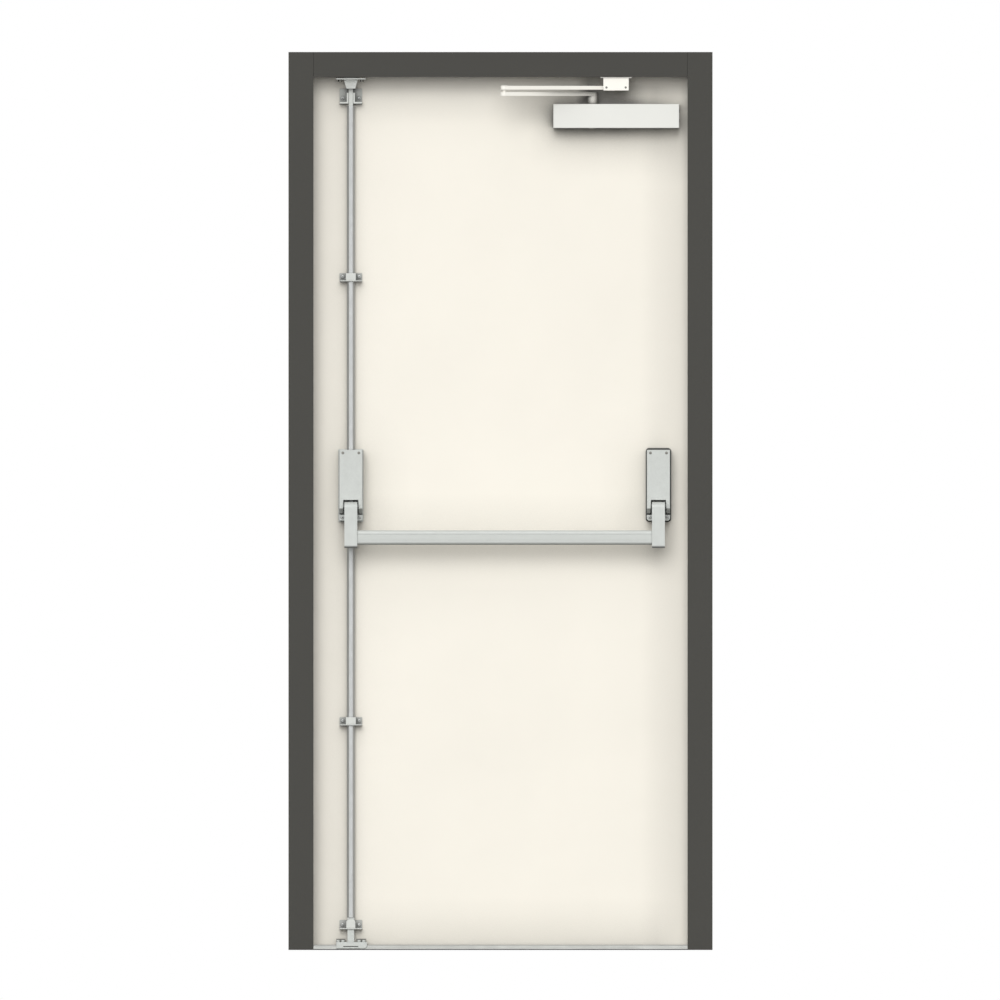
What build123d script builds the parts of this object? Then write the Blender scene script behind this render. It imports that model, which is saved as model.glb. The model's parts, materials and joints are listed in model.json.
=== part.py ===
from build123d import *
import os

os.makedirs("parts", exist_ok=True)

# All sizes in millimetres. X runs left to right for somebody facing the push
# side, Y runs away from them (the way the leaf opens) and Z runs up. The origin
# is on the floor, in the middle of the opening and of the frame's depth.

# Frame: folded sheet, single rebate, open toward the wall.
CLEAR_WIDTH = 900
CLEAR_HEIGHT = 2100
FACE = 60
REVEAL_DEPTH = 64
REBATE = 22
FRAME_SHEET = 2
WALL_LIP = 15
HEAD_JOINT = 0.6
ANCHOR_HOLE_R = 5.5
ANCHOR_HOLE_DEPTH = 32
ANCHOR_END = 200
ANCHOR_LOW_PITCH = 560
ANCHOR_HIGH_PITCH = 570

# Threshold.
SILL_HEIGHT = 12.5
SILL_REVEAL = 2
SILL_BEVEL = 3
SILL_LEDGE = 3
SILL_FLUTES = 5
SILL_FLUTE_WIDTH = 2
SILL_FLUTE_DEPTH = 0.8
SILL_HOLE_PITCH = 500
SILL_HOLE_R = 3.25

# Leaf: folded front pan, flat rear sheet, sound-deadening core.
LEAF_THICK = 60
LEAF_SHEET = 1.5
LEAF_GAP = 5
LATCH_GAP = 8
STOP_TO_LEAF = 6

# Seals on the stop.
SEAL_WIDTH = 8
SEAL_NIP = 0.3
SEAL_INSET = 6
SEAL_EDGE = 2
SEAL_FOOT = 4

# Butt hinges.
HINGE_END = 225
HINGE_LENGTH = 120
HINGE_KNUCKLES = 3
KNUCKLE_R = 8
KNUCKLE_GAP = 0.5
HINGE_BEHIND = 1
PIN_R = 4
PIN_FIT = 0.08
FLAG_SHEET = 2
FLAG_DEPTH = 34

# Vertical rods: six-sided bar that ends on a flat bolt at head and foot.
ROD_INSET = 90
ROD_STANDOFF = 12.5
ROD_FLATS = 16
ROD_BORE_R = 5.2
ROD_GAP = 40
ROD_ABOVE_PIVOT = 34
ROD_END_GAP = 3
SPIGOT_FIT = 0.05
SPIGOT_LENGTH = 24
BOLT_DEPTH = 12
TOP_BOLT_WIDTH = 10.5
TOP_BOLT_SHY = 14.5
TOP_BOLT_NOSE = 6
BOTTOM_BOLT_WIDTH = 16.3
BOTTOM_BOLT_SHY = 5
BOTTOM_BOLT_LENGTH = 60.5
BOLT_EDGE = 1.5

# Guides that carry the rods on the leaf.
GUIDE_SHEET = 2.5
GUIDE_WIDTH = 54
GUIDE_HEIGHT = 19.5
GUIDE_LEDGE = 2
GUIDE_NOSE = 2
GUIDE_CORNER = 2
GUIDE_FIT = 0.6
SADDLE_WALL = 2.2
LOWER_GUIDE_BELOW = 489.6
UPPER_GUIDE_ABOVE = 404
TOP_GUIDE_DROP = 66
TOP_GUIDE_HEIGHT = 38
TOP_LEDGE = 4
TOP_CHEEK = 4
TOP_CHEEK_HEIGHT = 26
BOTTOM_GUIDE_FOOT = 50
BOTTOM_GUIDE_HEIGHT = 23.5
BOTTOM_PLATE_HEIGHT = 22
BOTTOM_ARCH_R = 7

# Keeps on the head and on the threshold.
KEEP_SHEET = 3
KEEP_HALF = 36
KEEP_DEPTH = 62
KEEP_DROP = 3
KEEP_RISER_HALF = 15.5
KEEP_RISER_BACK = 1
HOOD_DROP = 28
HOOD_DEPTH = 32
HOOD_TOP_HALF = 17
HOOD_FOOT_HALF = 10.5
HOOD_LIP = 3
STRIKE_LEFT = 35
STRIKE_RIGHT = 39
STRIKE_THICK = 6.5
STRIKE_NOSE = 3.5
STRIKE_CORNER = 2.5
STRIKE_APRON = 8.5
STRIKE_BEVEL = 8
STRIKE_SLOT_HALF = 13
STRIKE_EAR_HEIGHT = 8
STRIKE_EAR_SHORT = 2.5
STRIKE_GROOVE_HALF = 18
STRIKE_GROOVE_WIDTH = 2
STRIKE_GROOVE_DEPTH = 2.5
STRIKE_EAR_SHEET = 4

# Lever cases.
PIVOT_HEIGHT = 1066
PIVOT_STANDOFF = 35
PIVOT_R = 4
PIVOT_FIT = 0.08
RIGHT_CASE_INSET = 70
PLATE_WIDTH = 60
PLATE_HEIGHT = 174.5
PLATE_THICK = 4
PLATE_CORNER = 2
PLATE_BELOW = 36
PACKER_WIDTH = 61
PACKER_CORNER = 8
PACKER_ABOVE = 4.5
COVER_WIDTH = 56
COVER_HEIGHT = 153
COVER_DEPTH = 49
COVER_WALL = 2
COVER_BELOW = 16
COVER_CUT = 12
COVER_EDGE = 1
SLOT_HALF = 18.75
SLOT_FLARE = 0.75
SLOT_ABOVE = 16.5
FOOT_BLOCK_DEPTH = 34.5
FOOT_BLOCK_LIFT = 3
FOOT_BLOCK_GAP = 3.3
FOOT_BLOCK_WALL = 3
CHEEK_INSIDE = 20
CHEEK_SHEET = 3
CHEEK_REACH = 10
CHEEK_ROUND = 6
RIGHT_BASE_SHEET = 2

# Push bar and its two cranked arms.
BAR_REACH = 50
BAR_BELOW = 74
BAR_DEPTH = 20
BAR_HEIGHT = 35
BAR_ROUND = 7
BAR_WALL = 2
BAR_FIT = 0.25
BAR_GROOVE = 2
BAR_GROOVE_DEPTH = 0.3
BAR_GROOVE_PITCH = 14
BAR_SPIGOT = 20
ARM_WIDTH = 31
ARM_HUB_R = 12
ARM_TOE_HALF = 14
ARM_TOE_ROUND = 6
ARM_KNEE_REACH = 50
ARM_KNEE_BELOW = 1
ARM_TOE_BELOW = 25
ARM_BOSS_R = 8
ARM_SIDE_PLAY = 0.1

# Closer on the leaf and its folding arm.
CLOSER_LENGTH = 303
CLOSER_HEIGHT = 58
CLOSER_DEPTH = 48
CLOSER_PLATE = 3
CLOSER_INSET = 20
CLOSER_DROP = 65
CLOSER_EDGE = 1
SPINDLE_FROM_END = 94
SPINDLE_STANDOFF = 25
SPINDLE_R = 8
SPINDLE_BELOW = 2.4
SPINDLE_NUT = 1
HUB_R = 13
HUB_LIFT = 0.5
ARM_FIT = 0.08
MAIN_ARM_THICK = 9
MAIN_ARM_LIFT = 19.5
MAIN_ARM_END_R = 10
ARM_SPACER = 6
FOREARM_THICK = 9
FOREARM_HALF = 9
ARM_WASHER = 0.5
ELBOW_LEFT = 212
ELBOW_FRONT = 108
ELBOW_PIN_R = 3
ELBOW_EYE_R = 5
ELBOW_CAP = 1
ELBOW_CAP_R = 7.5
ELBOW_SPACER_R = 4.5
ANCHOR_RIGHT = 43
ANCHOR_FRONT = 13
ANCHOR_PIN_R = 5
ANCHOR_EYE_R = 12
ANCHOR_CAP = 2.5
BRACKET_SHEET = 2.5
BRACKET_WIDTH = 61
BRACKET_FLANGE_WIDTH = 74.6
BRACKET_FLANGE_DEPTH = 52
BRACKET_DROP = 32.5
BRACKET_RIGHT = 14
BRACKET_FRONT = 27
BRACKET_TOE = 2

# Planes and points that follow from the sizes above.
FRAME_DEPTH = REVEAL_DEPTH + STOP_TO_LEAF + LEAF_THICK
FRONT_Y = -FRAME_DEPTH / 2
BACK_Y = FRAME_DEPTH / 2
STOP_Y = FRONT_Y + REVEAL_DEPTH
LEAF_Y = STOP_Y + STOP_TO_LEAF
LEAF_BACK = LEAF_Y + LEAF_THICK
CLEAR_X = CLEAR_WIDTH / 2
REBATE_X = CLEAR_X + REBATE
OUTER_X = CLEAR_X + FACE
HEAD_REBATE = CLEAR_HEIGHT + REBATE
OUTER_TOP = CLEAR_HEIGHT + FACE
ANCHOR_HOLE_Y = FRONT_Y + ANCHOR_HOLE_DEPTH
LEAF_LEFT = -REBATE_X + LATCH_GAP
LEAF_RIGHT = REBATE_X - LEAF_GAP
LEAF_FOOT = SILL_LEDGE + LEAF_GAP
LEAF_TOP = HEAD_REBATE - LEAF_GAP
HINGE_X = REBATE_X
HINGE_Y = LEAF_BACK + KNUCKLE_R + HINGE_BEHIND
ROD_X = -CLEAR_X + ROD_INSET
ROD_Y = LEAF_Y - ROD_STANDOFF
ROD_FRONT = ROD_Y - ROD_FLATS / 2
ROD_BACK = ROD_Y + ROD_FLATS / 2
ROD_HALF = ROD_FLATS / 3**0.5
TOP_GUIDE_FOOT = CLEAR_HEIGHT - TOP_GUIDE_DROP
TOP_BOLT_FOOT = TOP_GUIDE_FOOT - ROD_END_GAP
TOP_BOLT_TOP = CLEAR_HEIGHT - TOP_BOLT_SHY
BOTTOM_BOLT_FOOT = SILL_HEIGHT + BOTTOM_BOLT_SHY
BOTTOM_BOLT_HEAD = BOTTOM_BOLT_FOOT + BOTTOM_BOLT_LENGTH
CASE_X = {"left": ROD_X, "right": CLEAR_X - RIGHT_CASE_INSET}
PIVOT_Y = LEAF_Y - PIVOT_STANDOFF
PLATE_FRONT = LEAF_Y - PLATE_THICK
PLATE_FOOT = PIVOT_HEIGHT - PLATE_BELOW
PLATE_TOP = PLATE_FOOT + PLATE_HEIGHT
COVER_FOOT = PIVOT_HEIGHT - COVER_BELOW
COVER_TOP = COVER_FOOT + COVER_HEIGHT
COVER_FRONT = PLATE_FRONT - COVER_DEPTH
LOWER_ROD_TOP = PIVOT_HEIGHT + ROD_ABOVE_PIVOT
UPPER_ROD_FOOT = LOWER_ROD_TOP + ROD_GAP
BAR_Y = PIVOT_Y - BAR_REACH
BAR_Z = PIVOT_HEIGHT - BAR_BELOW
CLOSER_RIGHT = CLEAR_X - CLOSER_INSET
CLOSER_LEFT = CLOSER_RIGHT - CLOSER_LENGTH
CLOSER_TOP = CLEAR_HEIGHT - CLOSER_DROP
CLOSER_FOOT = CLOSER_TOP - CLOSER_HEIGHT
CLOSER_FRONT = LEAF_Y - CLOSER_DEPTH
SPINDLE = (CLOSER_LEFT + SPINDLE_FROM_END, LEAF_Y - SPINDLE_STANDOFF)
ELBOW = (SPINDLE[0] - ELBOW_LEFT, SPINDLE[1] - ELBOW_FRONT)
ANCHOR = (SPINDLE[0] + ANCHOR_RIGHT, SPINDLE[1] - ANCHOR_FRONT)
MAIN_ARM_FOOT = CLOSER_TOP + MAIN_ARM_LIFT
MAIN_ARM_TOP = MAIN_ARM_FOOT + MAIN_ARM_THICK
FOREARM_FOOT = MAIN_ARM_TOP + ARM_SPACER
FOREARM_TOP = FOREARM_FOOT + FOREARM_THICK


def block(x, y, z):
    """A box between the low and high value on each axis."""
    centre = ((x[0] + x[1]) / 2, (y[0] + y[1]) / 2, (z[0] + z[1]) / 2)
    return Pos(*centre) * Box(x[1] - x[0], y[1] - y[0], z[1] - z[0])


def around(centre, half):
    """The pair of values at a distance on both sides of a centre."""
    return (centre - half, centre + half)


def wider(span, margin):
    """A span made longer at both ends, so that a cut goes right through."""
    return (span[0] - margin, span[1] + margin)


def post(point, z, radius):
    """An upright cylinder at a point of the plan, between two heights."""
    return Pos(*point, (z[0] + z[1]) / 2) * Cylinder(radius, z[1] - z[0])


def axle(x, y, z, radius):
    """A cylinder along X."""
    turned = Rot(0, 90, 0) * Cylinder(radius, x[1] - x[0])
    return Pos((x[0] + x[1]) / 2, y, z) * turned


def along_x(section, x):
    """A section drawn in (y, z), drawn out along X."""
    plane = Plane(origin=(x[0], 0, 0), x_dir=(0, 1, 0), z_dir=(1, 0, 0))
    return extrude(plane * section, x[1] - x[0], dir=(1, 0, 0))


def along_y(section, y):
    """A section drawn in (x, z), drawn out along Y."""
    plane = Plane(origin=(0, y[1], 0), x_dir=(1, 0, 0), z_dir=(0, -1, 0))
    return extrude(plane * section, y[1] - y[0], dir=(0, -1, 0))


def along_z(section, z):
    """A section drawn in (x, y), drawn out along Z."""
    return extrude(Pos(0, 0, z[0]) * section, z[1] - z[0], dir=(0, 0, 1))


def outline(*points):
    return Polygon(*points, align=None)


def strap(*discs):
    """The flat outline round discs that are given as (u, v, radius)."""
    rings = [(Pos(u, v) * Circle(r)).edges() for u, v, r in discs]
    return make_hull([edge for ring in rings for edge in ring])


def rounded_plate(x, z, y, radius, corners=4):
    """A plate facing -Y with its corners rounded, the upper two first."""
    plate = block(x, y, z)
    uprights = plate.edges().filter_by(Axis.Y).sort_by(Axis.Z, reverse=True)
    return fillet(uprights[:corners], radius)


def mirrored(shape):
    return mirror(shape, about=Plane.YZ)


def folded(section):
    """The sheet skin just inside a closed section."""
    return section - offset(section, -FRAME_SHEET, kind=Kind.INTERSECTION)


def anchor_heights():
    """Heights of a jamb's four anchor holes, counted from both ends."""
    low = ANCHOR_END
    high = CLEAR_HEIGHT - ANCHOR_END
    return (low, low + ANCHOR_LOW_PITCH, high - ANCHOR_HIGH_PITCH, high)


def right_jamb():
    section = folded(
        outline(
            (CLEAR_X, FRONT_Y),
            (OUTER_X, FRONT_Y),
            (OUTER_X, BACK_Y),
            (REBATE_X, BACK_Y),
            (REBATE_X, STOP_Y),
            (CLEAR_X, STOP_Y),
        )
    )
    throat = Pos(OUTER_X, 0) * Rectangle(4 * FRAME_SHEET, FRAME_DEPTH - 2 * WALL_LIP)
    jamb = along_z(section - throat, (0, OUTER_TOP))
    for height in anchor_heights():
        hole = around(CLEAR_X, 2 * FRAME_SHEET)
        jamb -= axle(hole, ANCHOR_HOLE_Y, height, ANCHOR_HOLE_R)
    return jamb


def frame_head():
    section = folded(
        outline(
            (FRONT_Y, CLEAR_HEIGHT),
            (STOP_Y, CLEAR_HEIGHT),
            (STOP_Y, HEAD_REBATE),
            (BACK_Y, HEAD_REBATE),
            (BACK_Y, OUTER_TOP),
            (FRONT_Y, OUTER_TOP),
        )
    )
    throat = Pos(0, OUTER_TOP) * Rectangle(FRAME_DEPTH - 2 * WALL_LIP, 4 * FRAME_SHEET)
    head = along_x(section - throat, (-REBATE_X, REBATE_X))
    joint = CLEAR_X - HEAD_JOINT
    for side in ((-OUTER_X, -joint), (joint, OUTER_X)):
        head -= block(side, (FRONT_Y - 1, STOP_Y), (CLEAR_HEIGHT - 1, OUTER_TOP + 1))
    return head


def threshold():
    """A bevelled, fluted bar, rebated along its foot, with a low ledge behind."""
    across = (-CLEAR_X, CLEAR_X)
    nose = along_x(
        outline(
            (FRONT_Y + SILL_BEVEL, 0),
            (STOP_Y, 0),
            (STOP_Y, SILL_HEIGHT),
            (FRONT_Y + SILL_BEVEL, SILL_HEIGHT),
            (FRONT_Y, SILL_HEIGHT - SILL_BEVEL),
            (FRONT_Y, SILL_REVEAL),
            (FRONT_Y + SILL_BEVEL, SILL_REVEAL),
        ),
        across,
    )
    sill = nose + block((-REBATE_X, REBATE_X), (STOP_Y, BACK_Y), (0, SILL_LEDGE))
    pitch = (REVEAL_DEPTH - SILL_BEVEL) / (SILL_FLUTES + 1)
    groove = (SILL_HEIGHT - SILL_FLUTE_DEPTH, SILL_HEIGHT + 1)
    for number in range(SILL_FLUTES):
        middle = FRONT_Y + SILL_BEVEL + pitch * (number + 1)
        sill -= block(across, around(middle, SILL_FLUTE_WIDTH / 2), groove)
    for x in around(0, SILL_HOLE_PITCH / 2):
        sill -= post((x, ANCHOR_HOLE_Y), (-1, SILL_HEIGHT + 1), SILL_HOLE_R)
        sink = Cone(SILL_HOLE_R, 2 * SILL_HOLE_R, SILL_HOLE_R)
        sill -= Pos(x, ANCHOR_HOLE_Y, SILL_HEIGHT - SILL_HOLE_R / 2) * sink
    return sill


def seal_bulb(start, width):
    """The seal's section across its width, bevelled where the leaf meets it."""
    crest = LEAF_Y - SEAL_NIP
    end = start + width
    return (
        (start, STOP_Y),
        (end, STOP_Y),
        (end, crest - SEAL_EDGE),
        (end - SEAL_EDGE, crest),
        (start + SEAL_EDGE, crest),
        (start, crest - SEAL_EDGE),
    )


def frame_seal():
    """One ring of seal: both stops, the head's stop and the threshold's back."""
    inner = CLEAR_X + SEAL_INSET
    lintel_foot = CLEAR_HEIGHT + SEAL_INSET
    foot = (SILL_HEIGHT - SEAL_FOOT, SILL_HEIGHT)
    side = along_z(outline(*seal_bulb(inner, SEAL_WIDTH)), (foot[0], lintel_foot + SEAL_WIDTH))
    lintel = outline(*((y, z) for z, y in seal_bulb(lintel_foot, SEAL_WIDTH)))
    across = around(0, inner + SEAL_EDGE)
    ring = side + mirrored(side) + along_x(lintel, across)
    return ring + block(across, (STOP_Y, LEAF_Y - SEAL_NIP), foot)


def six_sided_rod(z):
    """Hexagonal bar with one flat toward the room, bored for the spigots."""
    hexagon = RegularPolygon(ROD_FLATS / 2, 6, major_radius=False)
    bar = along_z(Pos(ROD_X, ROD_Y) * hexagon, z)
    return bar - post((ROD_X, ROD_Y), wider(z, 1), ROD_BORE_R)


def top_bolt():
    """A flat bolt with a bevelled nose, on a spigot that fills the rod's bore."""
    back = ROD_Y + BOLT_DEPTH / 2
    bolt = block(
        around(ROD_X, TOP_BOLT_WIDTH / 2),
        around(ROD_Y, BOLT_DEPTH / 2),
        (TOP_BOLT_FOOT, TOP_BOLT_TOP),
    )
    rear_top = bolt.edges().filter_by(Axis.X).group_by(Axis.Z)[-1].sort_by(Axis.Y)[-1]
    bolt = chamfer(rear_top, TOP_BOLT_NOSE)
    spigot = (TOP_BOLT_FOOT - SPIGOT_LENGTH, TOP_BOLT_FOOT)
    return bolt + post((ROD_X, ROD_Y), spigot, ROD_BORE_R - SPIGOT_FIT)


def bottom_bolt():
    bolt = block(
        around(ROD_X, BOTTOM_BOLT_WIDTH / 2),
        around(ROD_Y, BOLT_DEPTH / 2),
        (BOTTOM_BOLT_FOOT, BOTTOM_BOLT_HEAD),
    )
    bolt = chamfer(bolt.edges().group_by(Axis.Z)[0], BOLT_EDGE)
    spigot = (BOTTOM_BOLT_HEAD, BOTTOM_BOLT_HEAD + SPIGOT_LENGTH)
    return bolt + post((ROD_X, ROD_Y), spigot, ROD_BORE_R - SPIGOT_FIT)


def hood_section(inset, top, foot):
    """The tapered front of the top keep, drawn in by a wall on each side."""
    half_top, half_foot = HOOD_TOP_HALF - inset, HOOD_FOOT_HALF - inset
    return outline(
        (ROD_X - half_top, top),
        (ROD_X + half_top, top),
        (ROD_X + half_foot, foot),
        (ROD_X - half_foot, foot),
    )


def top_keep():
    """A flange hung under the head by a riser, with a tapered hood before the bolt."""
    over = CLEAR_HEIGHT - KEEP_DROP
    under = over - KEEP_SHEET
    foot = CLEAR_HEIGHT - HOOD_DROP
    front = STOP_Y - KEEP_DEPTH
    flange = block(around(ROD_X, KEEP_HALF), (front, STOP_Y), (under, over))
    flange = fillet(flange.edges().filter_by(Axis.Z).group_by(Axis.Y)[0], KEEP_SHEET)
    riser = (front + KEEP_RISER_BACK, STOP_Y)
    flange += block(around(ROD_X, KEEP_RISER_HALF), riser, (over, CLEAR_HEIGHT))
    hood = along_y(hood_section(0, under, foot), (STOP_Y - HOOD_DEPTH, STOP_Y))
    hollow = (STOP_Y - HOOD_DEPTH + KEEP_SHEET, STOP_Y + 1)
    hood -= along_y(hood_section(KEEP_SHEET, under, foot), hollow)
    lip = block(
        around(ROD_X, HOOD_TOP_HALF - KEEP_SHEET / 2),
        (STOP_Y - KEEP_SHEET, STOP_Y),
        (under - HOOD_LIP, under),
    )
    return flange + hood + lip


def bottom_keep():
    """A block over the threshold's nose, slotted for the bolt, with two ears."""
    left, right = ROD_X - STRIKE_LEFT, ROD_X + STRIKE_RIGHT
    top = SILL_HEIGHT + STRIKE_THICK
    front = FRONT_Y - STRIKE_NOSE
    keep = block((left, right), (FRONT_Y, STOP_Y), (SILL_HEIGHT, top))
    keep += block((left, right), (front, FRONT_Y), (SILL_HEIGHT - STRIKE_APRON, top))
    corner = keep.edges().filter_by(Axis.Y).group_by(Axis.Z)[0].sort_by(Axis.X)[-1]
    keep = chamfer(corner, STRIKE_BEVEL * 0.6)
    slot = around(ROD_X, STRIKE_SLOT_HALF)
    ear_foot = (top - 1, top + STRIKE_EAR_HEIGHT)
    ear_sheet = (ROD_Y + 1, ROD_Y + 1 + STRIKE_EAR_SHEET)
    keep += rounded_plate(
        (left, right - STRIKE_EAR_SHORT), ear_foot, ear_sheet, STRIKE_CORNER, 2
    )
    groove = around(SILL_HEIGHT - STRIKE_APRON / 2, STRIKE_GROOVE_WIDTH / 2)
    keep -= block(
        around(ROD_X, STRIKE_GROOVE_HALF), (front - 1, front + STRIKE_GROOVE_DEPTH), groove
    )
    opening = (ROD_Y - BOLT_DEPTH / 2 - STRIKE_BEVEL, STOP_Y + 1)
    return keep - block(slot, opening, (SILL_HEIGHT - 1, top + STRIKE_EAR_HEIGHT + 1))


def knuckle_spans(middle, first):
    """Every second knuckle of a hinge, counted from the foot."""
    pitch = HINGE_LENGTH / HINGE_KNUCKLES
    foot = middle - HINGE_LENGTH / 2
    gap = KNUCKLE_GAP / 2
    count = range(first, HINGE_KNUCKLES, 2)
    return [(foot + n * pitch + gap, foot + (n + 1) * pitch - gap) for n in count]


def hinge_flag(x, middle, spans):
    """A flat flag with the knuckles that belong to it."""
    flag = block(x, (LEAF_BACK - FLAG_DEPTH, LEAF_BACK), around(middle, HINGE_LENGTH / 2))
    flag = chamfer(flag.edges().filter_by(Axis.X).group_by(Axis.Y)[0], KNUCKLE_R / 2)
    for span in spans:
        flag += block(x, (LEAF_BACK - 1, HINGE_Y), span)
        flag += post((HINGE_X, HINGE_Y), span, KNUCKLE_R)
    return flag


def hinge_frame(middle):
    """The fixed flag with the outer knuckles and the pin."""
    side = (REBATE_X - FLAG_SHEET, REBATE_X)
    hinge = hinge_flag(side, middle, knuckle_spans(middle, 0))
    return hinge + post((HINGE_X, HINGE_Y), around(middle, HINGE_LENGTH / 2), PIN_R)


def hinge_leaf(middle):
    """The flag on the leaf's edge with the inner knuckles."""
    edge = (LEAF_RIGHT, LEAF_RIGHT + FLAG_SHEET)
    hinge = hinge_flag(edge, middle, knuckle_spans(middle, 1))
    bore = wider(around(middle, HINGE_LENGTH / 2), -1)
    return hinge - post((HINGE_X, HINGE_Y), bore, PIN_R + PIN_FIT)


def hinge_heights():
    """Top and bottom hinge at the same distance from the leaf's ends."""
    low, high = LEAF_FOOT + HINGE_END, LEAF_TOP - HINGE_END
    return {"low": low, "middle": (low + high) / 2, "top": high}


def leaf_space(inset):
    """The leaf's outline, drawn in at its four edges."""
    return (
        (LEAF_LEFT + inset, LEAF_RIGHT - inset),
        (LEAF_FOOT + inset, LEAF_TOP - inset),
    )


def leaf_pan():
    """The front sheet, folded back along all four edges."""
    outer, inner = leaf_space(0), leaf_space(LEAF_SHEET)
    pan = block(outer[0], (LEAF_Y, LEAF_BACK - LEAF_SHEET), outer[1])
    return pan - block(inner[0], (LEAF_Y + LEAF_SHEET, LEAF_BACK), inner[1])


def leaf_rear_sheet():
    across, height = leaf_space(0)
    return block(across, (LEAF_BACK - LEAF_SHEET, LEAF_BACK), height)


def acoustic_core():
    across, height = leaf_space(LEAF_SHEET)
    return block(across, (LEAF_Y + LEAF_SHEET, LEAF_BACK - LEAF_SHEET), height)


def rod_saddle(foot):
    """A guide half way along a rod: wall plate, ledge and a box round the rod."""
    height = (foot, foot + GUIDE_HEIGHT)
    reach = ROD_FRONT - GUIDE_FIT
    half = ROD_HALF + GUIDE_FIT
    across = around(ROD_X, GUIDE_WIDTH / 2)
    guide = rounded_plate(across, height, (LEAF_Y - GUIDE_SHEET, LEAF_Y), GUIDE_CORNER, 2)
    ledge = (reach - SADDLE_WALL - GUIDE_NOSE, LEAF_Y)
    guide += block(across, ledge, (foot, foot + GUIDE_LEDGE))
    guide += block(around(ROD_X, half + SADDLE_WALL), (reach - SADDLE_WALL, LEAF_Y), height)
    return guide - block(around(ROD_X, half), (reach, ROD_BACK + GUIDE_FIT), wider(height, 1))


def top_guide():
    """Wall plate and ledge with two cheeks, open in front of the bolt."""
    foot = TOP_GUIDE_FOOT
    plate_front = LEAF_Y - GUIDE_SHEET
    across = around(ROD_X, GUIDE_WIDTH / 2)
    guide = rounded_plate(
        across, (foot, foot + TOP_GUIDE_HEIGHT), (plate_front, LEAF_Y), GUIDE_CORNER, 2
    )
    ledge_foot = foot + GUIDE_LEDGE
    reach = ROD_FRONT - GUIDE_NOSE
    guide += block(across, (reach, LEAF_Y), (ledge_foot, ledge_foot + TOP_LEDGE))
    half = TOP_BOLT_WIDTH / 2 + GUIDE_FIT
    for side in (-1, 1):
        cheek = around(ROD_X + side * (half + TOP_CHEEK / 2), TOP_CHEEK / 2)
        guide += block(cheek, (reach, LEAF_Y), (ledge_foot, ledge_foot + TOP_CHEEK_HEIGHT))
    slot = (foot - 1, ledge_foot + TOP_LEDGE + 1)
    return guide - block(around(ROD_X, half), (reach - 1, ROD_BACK), slot)


def bottom_guide():
    """Wall plate and ledge with an arched box round the wide bolt."""
    foot = BOTTOM_GUIDE_FOOT
    half = BOTTOM_BOLT_WIDTH / 2 + GUIDE_FIT
    reach = ROD_Y - BOLT_DEPTH / 2 - GUIDE_FIT
    across = around(ROD_X, GUIDE_WIDTH / 2)
    plate_height = (foot, foot + BOTTOM_PLATE_HEIGHT)
    guide = rounded_plate(across, plate_height, (LEAF_Y - GUIDE_SHEET, LEAF_Y), GUIDE_CORNER, 2)
    wall = SADDLE_WALL
    guide += block(across, (reach - wall - GUIDE_NOSE, LEAF_Y), (foot, foot + GUIDE_LEDGE))
    box_height = (foot, foot + BOTTOM_GUIDE_HEIGHT)
    guide += rounded_plate(
        around(ROD_X, half + wall), box_height, (reach - wall, LEAF_Y), BOTTOM_ARCH_R, 2
    )
    return guide - block(around(ROD_X, half), (reach, ROD_BACK), wider(box_height, 1))


def case_plate():
    """The plate between the left case and the leaf."""
    across = around(CASE_X["left"], PLATE_WIDTH / 2)
    return rounded_plate(across, (PLATE_FOOT, PLATE_TOP), (PLATE_FRONT, LEAF_Y), PLATE_CORNER)


def right_packer():
    """The packer under the right case, with well rounded corners."""
    across = around(CASE_X["right"], PACKER_WIDTH / 2)
    height = (PLATE_FOOT, COVER_TOP + PACKER_ABOVE)
    return rounded_plate(across, height, (PLATE_FRONT, LEAF_Y), PACKER_CORNER)


def foot_block(side, corner):
    """The hollow block below a cover that takes the case's lower screws."""
    across = around(CASE_X[side], COVER_WIDTH / 2)
    height = (PLATE_FOOT + FOOT_BLOCK_LIFT, COVER_FOOT - FOOT_BLOCK_GAP)
    front = PLATE_FRONT - FOOT_BLOCK_DEPTH
    hollow = block(
        wider(across, -FOOT_BLOCK_WALL),
        (front + FOOT_BLOCK_WALL, PLATE_FRONT + 1),
        (height[0] - 1, height[1] - FOOT_BLOCK_WALL),
    )
    foot = block(across, (front, PLATE_FRONT), height)
    lower = foot.edges().filter_by(Axis.Y).group_by(Axis.Z)[0]
    return chamfer(lower, corner) - hollow


def pivot_cheeks(side, wall):
    """Two cheeks that stand on a case base, with the arm's pivot between them."""
    x = CASE_X[side]
    cheeks = axle(around(x, CHEEK_INSIDE + 1), PIVOT_Y, PIVOT_HEIGHT, PIVOT_R)
    for sign in (-1, 1):
        middle = x + sign * (CHEEK_INSIDE + CHEEK_SHEET / 2)
        sheet = block(
            around(middle, CHEEK_SHEET / 2),
            (PIVOT_Y - CHEEK_REACH, wall),
            around(PIVOT_HEIGHT, CHEEK_REACH + 2),
        )
        cheeks += chamfer(sheet.edges().filter_by(Axis.X).group_by(Axis.Y)[0], CHEEK_ROUND)
    return cheeks


def left_case_base():
    """Plate, foot block and cheeks, with a channel for the lower rod."""
    foot = foot_block("left", PLATE_CORNER / 2)
    channel = around(ROD_X, ROD_HALF + GUIDE_FIT)
    depth = (PLATE_FRONT - FOOT_BLOCK_DEPTH - 1, PLATE_FRONT)
    foot -= block(channel, depth, wider((PLATE_FOOT, COVER_FOOT), 1))
    return case_plate() + foot + pivot_cheeks("left", PLATE_FRONT)


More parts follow.
